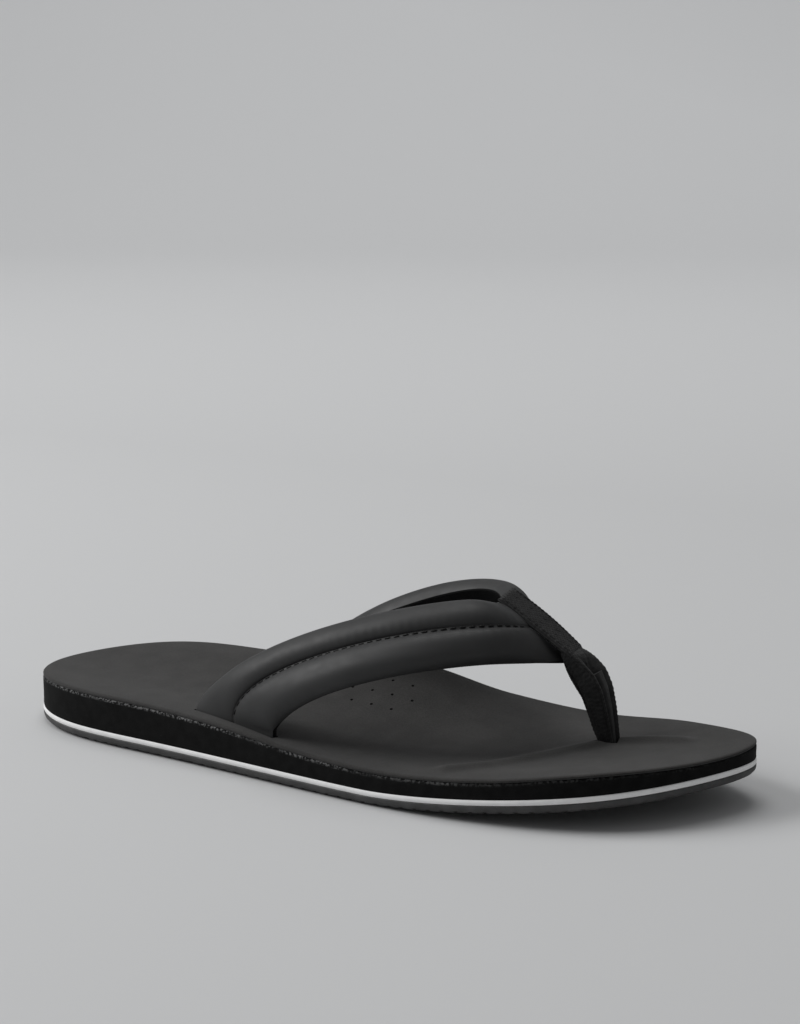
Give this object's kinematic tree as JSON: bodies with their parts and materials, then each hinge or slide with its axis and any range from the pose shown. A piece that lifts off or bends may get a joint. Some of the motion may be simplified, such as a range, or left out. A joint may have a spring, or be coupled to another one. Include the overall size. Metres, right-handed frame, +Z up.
{
  "type": "flip flop",
  "caption": "Right-foot flip flop with a layered foam sole, padded two-channel straps, a webbing tab over their meeting point and a folded webbing toe post.",
  "frame": {"origin": "on the ground, at the middle of the length and width", "axes": "+X heel to toe, +Y towards the inner side of the foot, +Z up"},
  "size_m": [0.2852, 0.1018, 0.0657],
  "materials": {
    "outsole_rubber": "moulded, matt, with transverse tread grooves",
    "stripe_foam": "smooth matt foam",
    "midsole_foam": "matt closed-cell foam, faintly mottled",
    "footbed_fabric": "matt synthetic nubuck",
    "strap_leather": "smooth matt synthetic leather",
    "strap_lining": "soft matt knit",
    "padding_foam": "open-cell foam",
    "webbing": "coarse plain-woven tape",
    "cord": "twisted cord",
    "thread": "polyester thread",
    "anchor_plastic": "moulded plastic"
  },
  "bodies": {
    "root": {"footbed_cover": "footbed_fabric", "lateral_strap_anchor": "anchor_plastic", "lateral_strap_lining": "strap_lining", "lateral_strap_padding_front": "padding_foam", "lateral_strap_padding_rear": "padding_foam", "lateral_strap_stitching": "thread", "lateral_strap_upper": "strap_leather", "medial_strap_anchor": "anchor_plastic", "medial_strap_lining": "strap_lining", "medial_strap_padding_front": "padding_foam", "medial_strap_padding_rear": "padding_foam", "medial_strap_stitching": "thread", "medial_strap_upper": "strap_leather", "midsole": "midsole_foam", "outsole": "outsole_rubber", "stripe_layer": "stripe_foam", "toe_post_anchor": "anchor_plastic", "toe_post_core": "cord", "toe_post_webbing": "webbing", "vamp_tab": "webbing", "vamp_tab_stitching": "thread"}
  },
  "joints": []
}
